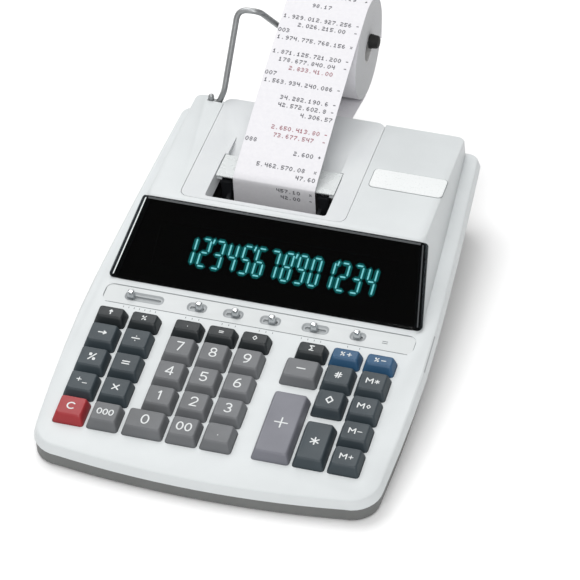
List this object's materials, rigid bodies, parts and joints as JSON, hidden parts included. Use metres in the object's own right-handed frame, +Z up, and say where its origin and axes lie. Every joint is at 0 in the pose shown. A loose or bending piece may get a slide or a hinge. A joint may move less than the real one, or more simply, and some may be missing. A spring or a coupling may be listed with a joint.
{
  "type": "printing calculator",
  "caption": "Desk printing calculator with a sloping keyboard, slide switches, smoked display window, hinged printer cover and paper roll on a wire arm.",
  "frame": {"origin": "on the table, under the middle of the bounding box", "axes": "+Z up, +X to the user's right, -Y towards the user, +Y towards the paper roll"},
  "size_m": [0.2372, 0.4164, 0.1301],
  "materials": {
    "shell_pale": "fine texture",
    "shell_dark": "fine texture",
    "window_smoked": "polished",
    "tube_glass": "polished",
    "tear_clear": "translucent, satin",
    "wire_steel": "plated, satin",
    "cap_black": "moulded",
    "roller_rubber": "matt",
    "paper_white": "uncoated paper",
    "printer_black": "moulded",
    "board_green": "lacquered board",
    "motor_steel": "plated",
    "knob_grey": "satin",
    "key_slate": "fine texture",
    "key_black": "fine texture",
    "key_grey": "fine texture",
    "key_red": "fine texture",
    "key_blue": "fine texture",
    "key_stone": "fine texture"
  },
  "bodies": {
    "case": {"upper_case": "shell_pale", "lower_case": "shell_dark", "display_window": "window_smoked", "display_tube": "tube_glass", "printer_frame": "printer_black", "circuit_board": "board_green", "drive_motor": "motor_steel", "paper_web": "paper_white", "paper_strip": "paper_white"},
    "cover": {"printer_cover": "shell_pale", "tear_bar": "tear_clear"},
    "arm": {"paper_arm": "wire_steel", "arm_end_cap": "cap_black"},
    "roll": {"paper_roll": "paper_white"},
    "platen": {"platen_roller": "roller_rubber"},
    "spool_left": {"ribbon_spool_left": "printer_black"},
    "spool_right": {"ribbon_spool_right": "printer_black"},
    "knob_decimal": {"switch_decimal": "knob_grey"},
    "knob_rounding": {"switch_rounding": "knob_grey"},
    "knob_item_count": {"switch_item_count": "knob_grey"},
    "knob_constant": {"switch_constant": "knob_grey"},
    "knob_print_mode": {"switch_print_mode": "knob_grey"},
    "knob_total_mode": {"switch_total_mode": "knob_grey"},
    "cap_feed": {"key_feed": "key_black"},
    "cap_backspace": {"key_backspace": "key_slate"},
    "cap_percent": {"key_percent": "key_slate"},
    "cap_sign": {"key_sign": "key_slate"},
    "cap_clear": {"key_clear": "key_red"},
    "cap_rate": {"key_rate": "key_black"},
    "cap_divide": {"key_divide": "key_slate"},
    "cap_equals": {"key_equals": "key_slate"},
    "cap_times": {"key_times": "key_slate"},
    "cap_triple_zero": {"key_triple_zero": "key_grey"},
    "cap_cost": {"key_cost": "key_black"},
    "cap_7": {"key_7": "key_grey"},
    "cap_4": {"key_4": "key_grey"},
    "cap_1": {"key_1": "key_grey"},
    "cap_0": {"key_0": "key_grey"},
    "cap_sell": {"key_sell": "key_black"},
    "cap_8": {"key_8": "key_grey"},
    "cap_5": {"key_5": "key_grey"},
    "cap_2": {"key_2": "key_grey"},
    "cap_double_zero": {"key_double_zero": "key_grey"},
    "cap_margin": {"key_margin": "key_black"},
    "cap_9": {"key_9": "key_grey"},
    "cap_6": {"key_6": "key_grey"},
    "cap_3": {"key_3": "key_grey"},
    "cap_point": {"key_point": "key_grey"},
    "cap_grand_total": {"key_grand_total": "key_black"},
    "cap_minus": {"key_minus": "key_grey"},
    "cap_plus": {"key_plus": "key_stone"},
    "cap_tax_plus": {"key_tax_plus": "key_blue"},
    "cap_number": {"key_number": "key_slate"},
    "cap_subtotal": {"key_subtotal": "key_slate"},
    "cap_star": {"key_star": "key_slate"},
    "cap_tax_minus": {"key_tax_minus": "key_blue"},
    "cap_memory_total": {"key_memory_total": "key_slate"},
    "cap_memory_subtotal": {"key_memory_subtotal": "key_slate"},
    "cap_memory_minus": {"key_memory_minus": "key_slate"},
    "cap_memory_plus": {"key_memory_plus": "key_slate"}
  },
  "joints": [
    {"name": "cover_hinge", "type": "hinge", "parent": "case", "child": "cover", "pos_m": [-0.0173, 0.11679, 0.071], "axis": [-1, 0, 0], "range_deg": [0, 45], "deforming": ["paper_strip"]},
    {"name": "arm_fold", "type": "hinge", "parent": "case", "child": "arm", "pos_m": [-0.08125, 0.11234, 0.0689], "axis": [-1, 0, 0], "range_deg": [0, 50], "deforming": ["paper_web"]},
    {"name": "roll_spin", "type": "hinge", "parent": "arm", "child": "roll", "pos_m": [-0.016, 0.17184, 0.091], "axis": [1, 0, 0], "continuous": true},
    {"name": "platen_spin", "type": "hinge", "parent": "case", "child": "platen", "pos_m": [-0.016, 0.04253, 0.04797], "axis": [1, 0, 0], "continuous": true},
    {"name": "spool_left_spin", "type": "hinge", "parent": "case", "child": "spool_left", "pos_m": [-0.0586, 0.08173, 0.05651], "axis": [0, -0.1219, 0.9925], "continuous": true},
    {"name": "spool_right_spin", "type": "hinge", "parent": "case", "child": "spool_right", "pos_m": [0.0266, 0.08173, 0.05651], "axis": [0, -0.1219, 0.9925], "continuous": true},
    {"name": "decimal_slide", "type": "slide", "parent": "case", "child": "knob_decimal", "axis": [1, 0, 0], "range_m": [0, 0.018]},
    {"name": "rounding_slide", "type": "slide", "parent": "case", "child": "knob_rounding", "axis": [1, 0, 0], "range_m": [-0.004, 0.001]},
    {"name": "item_count_slide", "type": "slide", "parent": "case", "child": "knob_item_count", "axis": [1, 0, 0], "range_m": [-0.004, 0.001]},
    {"name": "constant_slide", "type": "slide", "parent": "case", "child": "knob_constant", "axis": [1, 0, 0], "range_m": [-0.004, 0.0015]},
    {"name": "print_mode_slide", "type": "slide", "parent": "case", "child": "knob_print_mode", "axis": [1, 0, 0], "range_m": [-0.004, 0.0055]},
    {"name": "total_mode_slide", "type": "slide", "parent": "case", "child": "knob_total_mode", "axis": [1, 0, 0], "range_m": [-0.0005, 0.0015]},
    {"name": "press_feed", "type": "slide", "parent": "case", "child": "cap_feed", "axis": [0, 0.1219, -0.9925], "range_m": [0, 0.003], "stiffness_N_per_m": 150, "springref_m": -0.002},
    {"name": "press_backspace", "type": "slide", "parent": "case", "child": "cap_backspace", "axis": [0, 0.1219, -0.9925], "range_m": [0, 0.003], "stiffness_N_per_m": 150, "springref_m": -0.002},
    {"name": "press_percent", "type": "slide", "parent": "case", "child": "cap_percent", "axis": [0, 0.1219, -0.9925], "range_m": [0, 0.003], "stiffness_N_per_m": 150, "springref_m": -0.002},
    {"name": "press_sign", "type": "slide", "parent": "case", "child": "cap_sign", "axis": [0, 0.1219, -0.9925], "range_m": [0, 0.003], "stiffness_N_per_m": 150, "springref_m": -0.002},
    {"name": "press_clear", "type": "slide", "parent": "case", "child": "cap_clear", "axis": [0, 0.1219, -0.9925], "range_m": [0, 0.003], "stiffness_N_per_m": 150, "springref_m": -0.002},
    {"name": "press_rate", "type": "slide", "parent": "case", "child": "cap_rate", "axis": [0, 0.1219, -0.9925], "range_m": [0, 0.003], "stiffness_N_per_m": 150, "springref_m": -0.002},
    {"name": "press_divide", "type": "slide", "parent": "case", "child": "cap_divide", "axis": [0, 0.1219, -0.9925], "range_m": [0, 0.003], "stiffness_N_per_m": 150, "springref_m": -0.002},
    {"name": "press_equals", "type": "slide", "parent": "case", "child": "cap_equals", "axis": [0, 0.1219, -0.9925], "range_m": [0, 0.003], "stiffness_N_per_m": 150, "springref_m": -0.002},
    {"name": "press_times", "type": "slide", "parent": "case", "child": "cap_times", "axis": [0, 0.1219, -0.9925], "range_m": [0, 0.003], "stiffness_N_per_m": 150, "springref_m": -0.002},
    {"name": "press_triple_zero", "type": "slide", "parent": "case", "child": "cap_triple_zero", "axis": [0, 0.1219, -0.9925], "range_m": [0, 0.003], "stiffness_N_per_m": 150, "springref_m": -0.002},
    {"name": "press_cost", "type": "slide", "parent": "case", "child": "cap_cost", "axis": [0, 0.1219, -0.9925], "range_m": [0, 0.003], "stiffness_N_per_m": 150, "springref_m": -0.002},
    {"name": "press_7", "type": "slide", "parent": "case", "child": "cap_7", "axis": [0, 0.1219, -0.9925], "range_m": [0, 0.003], "stiffness_N_per_m": 150, "springref_m": -0.002},
    {"name": "press_4", "type": "slide", "parent": "case", "child": "cap_4", "axis": [0, 0.1219, -0.9925], "range_m": [0, 0.003], "stiffness_N_per_m": 150, "springref_m": -0.002},
    {"name": "press_1", "type": "slide", "parent": "case", "child": "cap_1", "axis": [0, 0.1219, -0.9925], "range_m": [0, 0.003], "stiffness_N_per_m": 150, "springref_m": -0.002},
    {"name": "press_0", "type": "slide", "parent": "case", "child": "cap_0", "axis": [0, 0.1219, -0.9925], "range_m": [0, 0.003], "stiffness_N_per_m": 150, "springref_m": -0.002},
    {"name": "press_sell", "type": "slide", "parent": "case", "child": "cap_sell", "axis": [0, 0.1219, -0.9925], "range_m": [0, 0.003], "stiffness_N_per_m": 150, "springref_m": -0.002},
    {"name": "press_8", "type": "slide", "parent": "case", "child": "cap_8", "axis": [0, 0.1219, -0.9925], "range_m": [0, 0.003], "stiffness_N_per_m": 150, "springref_m": -0.002},
    {"name": "press_5", "type": "slide", "parent": "case", "child": "cap_5", "axis": [0, 0.1219, -0.9925], "range_m": [0, 0.003], "stiffness_N_per_m": 150, "springref_m": -0.002},
    {"name": "press_2", "type": "slide", "parent": "case", "child": "cap_2", "axis": [0, 0.1219, -0.9925], "range_m": [0, 0.003], "stiffness_N_per_m": 150, "springref_m": -0.002},
    {"name": "press_double_zero", "type": "slide", "parent": "case", "child": "cap_double_zero", "axis": [0, 0.1219, -0.9925], "range_m": [0, 0.003], "stiffness_N_per_m": 150, "springref_m": -0.002},
    {"name": "press_margin", "type": "slide", "parent": "case", "child": "cap_margin", "axis": [0, 0.1219, -0.9925], "range_m": [0, 0.003], "stiffness_N_per_m": 150, "springref_m": -0.002},
    {"name": "press_9", "type": "slide", "parent": "case", "child": "cap_9", "axis": [0, 0.1219, -0.9925], "range_m": [0, 0.003], "stiffness_N_per_m": 150, "springref_m": -0.002},
    {"name": "press_6", "type": "slide", "parent": "case", "child": "cap_6", "axis": [0, 0.1219, -0.9925], "range_m": [0, 0.003], "stiffness_N_per_m": 150, "springref_m": -0.002},
    {"name": "press_3", "type": "slide", "parent": "case", "child": "cap_3", "axis": [0, 0.1219, -0.9925], "range_m": [0, 0.003], "stiffness_N_per_m": 150, "springref_m": -0.002},
    {"name": "press_point", "type": "slide", "parent": "case", "child": "cap_point", "axis": [0, 0.1219, -0.9925], "range_m": [0, 0.003], "stiffness_N_per_m": 150, "springref_m": -0.002},
    {"name": "press_grand_total", "type": "slide", "parent": "case", "child": "cap_grand_total", "axis": [0, 0.1219, -0.9925], "range_m": [0, 0.003], "stiffness_N_per_m": 150, "springref_m": -0.002},
    {"name": "press_minus", "type": "slide", "parent": "case", "child": "cap_minus", "axis": [0, 0.1219, -0.9925], "range_m": [0, 0.003], "stiffness_N_per_m": 150, "springref_m": -0.002},
    {"name": "press_plus", "type": "slide", "parent": "case", "child": "cap_plus", "axis": [0, 0.1219, -0.9925], "range_m": [0, 0.003], "stiffness_N_per_m": 150, "springref_m": -0.002},
    {"name": "press_tax_plus", "type": "slide", "parent": "case", "child": "cap_tax_plus", "axis": [0, 0.1219, -0.9925], "range_m": [0, 0.003], "stiffness_N_per_m": 150, "springref_m": -0.002},
    {"name": "press_number", "type": "slide", "parent": "case", "child": "cap_number", "axis": [0, 0.1219, -0.9925], "range_m": [0, 0.003], "stiffness_N_per_m": 150, "springref_m": -0.002},
    {"name": "press_subtotal", "type": "slide", "parent": "case", "child": "cap_subtotal", "axis": [0, 0.1219, -0.9925], "range_m": [0, 0.003], "stiffness_N_per_m": 150, "springref_m": -0.002},
    {"name": "press_star", "type": "slide", "parent": "case", "child": "cap_star", "axis": [0, 0.1219, -0.9925], "range_m": [0, 0.003], "stiffness_N_per_m": 150, "springref_m": -0.002},
    {"name": "press_tax_minus", "type": "slide", "parent": "case", "child": "cap_tax_minus", "axis": [0, 0.1219, -0.9925], "range_m": [0, 0.003], "stiffness_N_per_m": 150, "springref_m": -0.002},
    {"name": "press_memory_total", "type": "slide", "parent": "case", "child": "cap_memory_total", "axis": [0, 0.1219, -0.9925], "range_m": [0, 0.003], "stiffness_N_per_m": 150, "springref_m": -0.002},
    {"name": "press_memory_subtotal", "type": "slide", "parent": "case", "child": "cap_memory_subtotal", "axis": [0, 0.1219, -0.9925], "range_m": [0, 0.003], "stiffness_N_per_m": 150, "springref_m": -0.002},
    {"name": "press_memory_minus", "type": "slide", "parent": "case", "child": "cap_memory_minus", "axis": [0, 0.1219, -0.9925], "range_m": [0, 0.003], "stiffness_N_per_m": 150, "springref_m": -0.002},
    {"name": "press_memory_plus", "type": "slide", "parent": "case", "child": "cap_memory_plus", "axis": [0, 0.1219, -0.9925], "range_m": [0, 0.003], "stiffness_N_per_m": 150, "springref_m": -0.002}
  ],
  "couplings": [
    {"joint": "platen_spin", "follows": "roll_spin", "ratio": 3.9778},
    {"joint": "spool_right_spin", "follows": "spool_left_spin", "ratio": 1}
  ]
}
